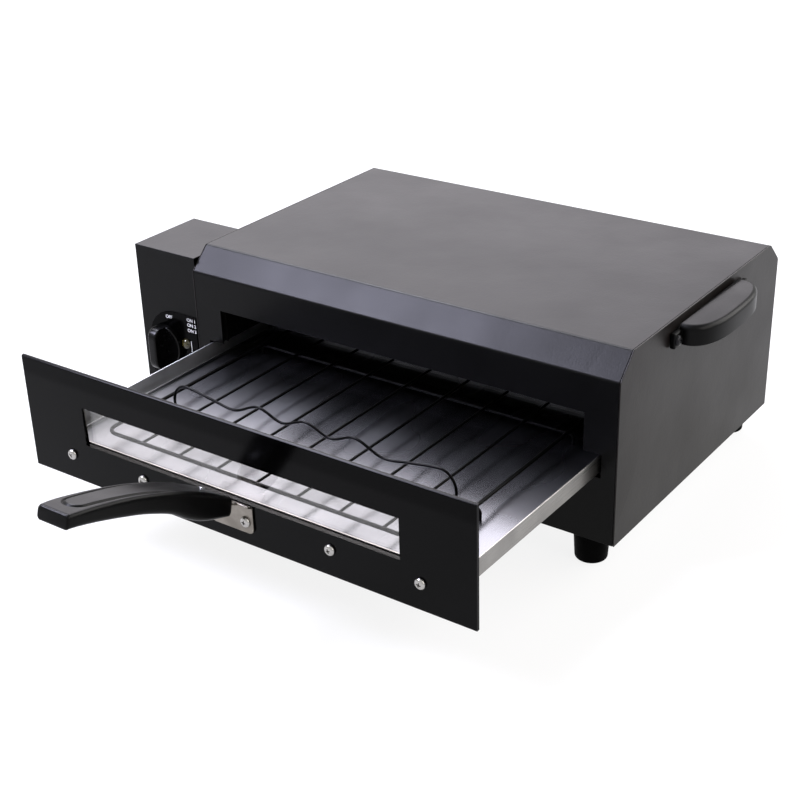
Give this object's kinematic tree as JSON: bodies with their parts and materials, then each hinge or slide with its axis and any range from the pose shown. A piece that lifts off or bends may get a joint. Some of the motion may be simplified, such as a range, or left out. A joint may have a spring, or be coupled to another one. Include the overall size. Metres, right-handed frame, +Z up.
{
  "type": "electric tandoor oven with pull-out drawer",
  "caption": "Black electric tandoor oven on feet, with a control box on its left end, a wide windowed drawer pulled out with its wire grill, and a carry handle on its right end.",
  "frame": {"origin": "middle of the footprint of the whole part at rest, at the height of the feet's undersides", "axes": "+X to the right when facing the drawer, +Y from the drawer towards the back of the oven, +Z up"},
  "size_m": [0.4956, 0.6208, 0.1757],
  "materials": {
    "black_painted_steel": "satin powder coat with a fine texture",
    "gloss_black_panel": "gloss",
    "stainless_steel": "bright rolled, slightly blotchy",
    "aluminised_steel": "dull rolled",
    "zinc_steel": "plated, satin",
    "black_steel": "blackened, satin",
    "black_bakelite": "moulded, semi-gloss",
    "black_knob_plastic": "moulded, semi-gloss",
    "black_rubber": "moulded, matt",
    "dark_plastic": "moulded, matt",
    "amber_lens": "gloss, translucent",
    "clear_glass": "clear, polished",
    "black_wire": "baked coating, satin",
    "heater_sheath": "oxidised, matt"
  },
  "bodies": {
    "oven": {"base_pan": "zinc_steel", "box_bracket": "zinc_steel", "box_screw_1": "zinc_steel", "box_screw_2": "zinc_steel", "carry_handle": "black_bakelite", "carry_screw_1": "black_steel", "carry_screw_2": "black_steel", "control_box": "black_painted_steel", "cover_screw_1": "zinc_steel", "cover_screw_2": "zinc_steel", "cover_screw_3": "zinc_steel", "cover_screw_4": "zinc_steel", "dial_plate": "gloss_black_panel", "foot_1": "black_rubber", "foot_2": "black_rubber", "foot_3": "black_rubber", "foot_4": "black_rubber", "foot_screw_1": "zinc_steel", "foot_screw_2": "zinc_steel", "foot_screw_3": "zinc_steel", "foot_screw_4": "zinc_steel", "inlet_pin_earth": "zinc_steel", "inlet_pin_live": "zinc_steel", "inlet_pin_neutral": "zinc_steel", "lamp_lens": "amber_lens", "lamp_ring": "dark_plastic", "left_end": "black_painted_steel", "left_guide": "zinc_steel", "lower_heater": "heater_sheath", "lower_heater_plate": "zinc_steel", "mains_inlet": "dark_plastic", "reflector_hood": "aluminised_steel", "reflector_pan": "aluminised_steel", "right_end": "black_painted_steel", "right_guide": "zinc_steel", "rotary_switch": "dark_plastic", "switch_nut": "zinc_steel", "upper_heater": "heater_sheath", "upper_heater_plate": "zinc_steel", "wrap_cover": "black_painted_steel"},
    "knob": {"selector_knob": "black_knob_plastic", "selector_shaft": "zinc_steel"},
    "drawer": {"drawer_front": "black_painted_steel", "window_glass": "clear_glass", "glass_retainer": "stainless_steel", "left_rail": "stainless_steel", "right_rail": "stainless_steel", "tray_pan": "stainless_steel", "panel_screw_1": "stainless_steel", "panel_screw_2": "stainless_steel", "panel_screw_3": "stainless_steel", "panel_screw_4": "stainless_steel", "handle_bracket": "stainless_steel", "bracket_screw_1": "stainless_steel", "bracket_screw_2": "stainless_steel", "drawer_handle": "black_bakelite", "handle_screw": "zinc_steel"},
    "grill_set": {"grill": "black_wire", "wave_rest": "black_wire"}
  },
  "joints": [
    {"name": "selector_turn", "type": "hinge", "parent": "oven", "child": "knob", "pos_m": [-0.2201, 0.0341, 0.0802], "axis": [0, 1, 0], "range_deg": [0, 135]},
    {"name": "drawer_slide", "type": "slide", "parent": "oven", "child": "drawer", "axis": [0, 1, 0], "range_m": [-0.02, 0.177]},
    {"name": "grill_lift", "type": "slide", "parent": "drawer", "child": "grill_set", "axis": [0, 0, 1], "range_m": [0, 0.008]}
  ]
}
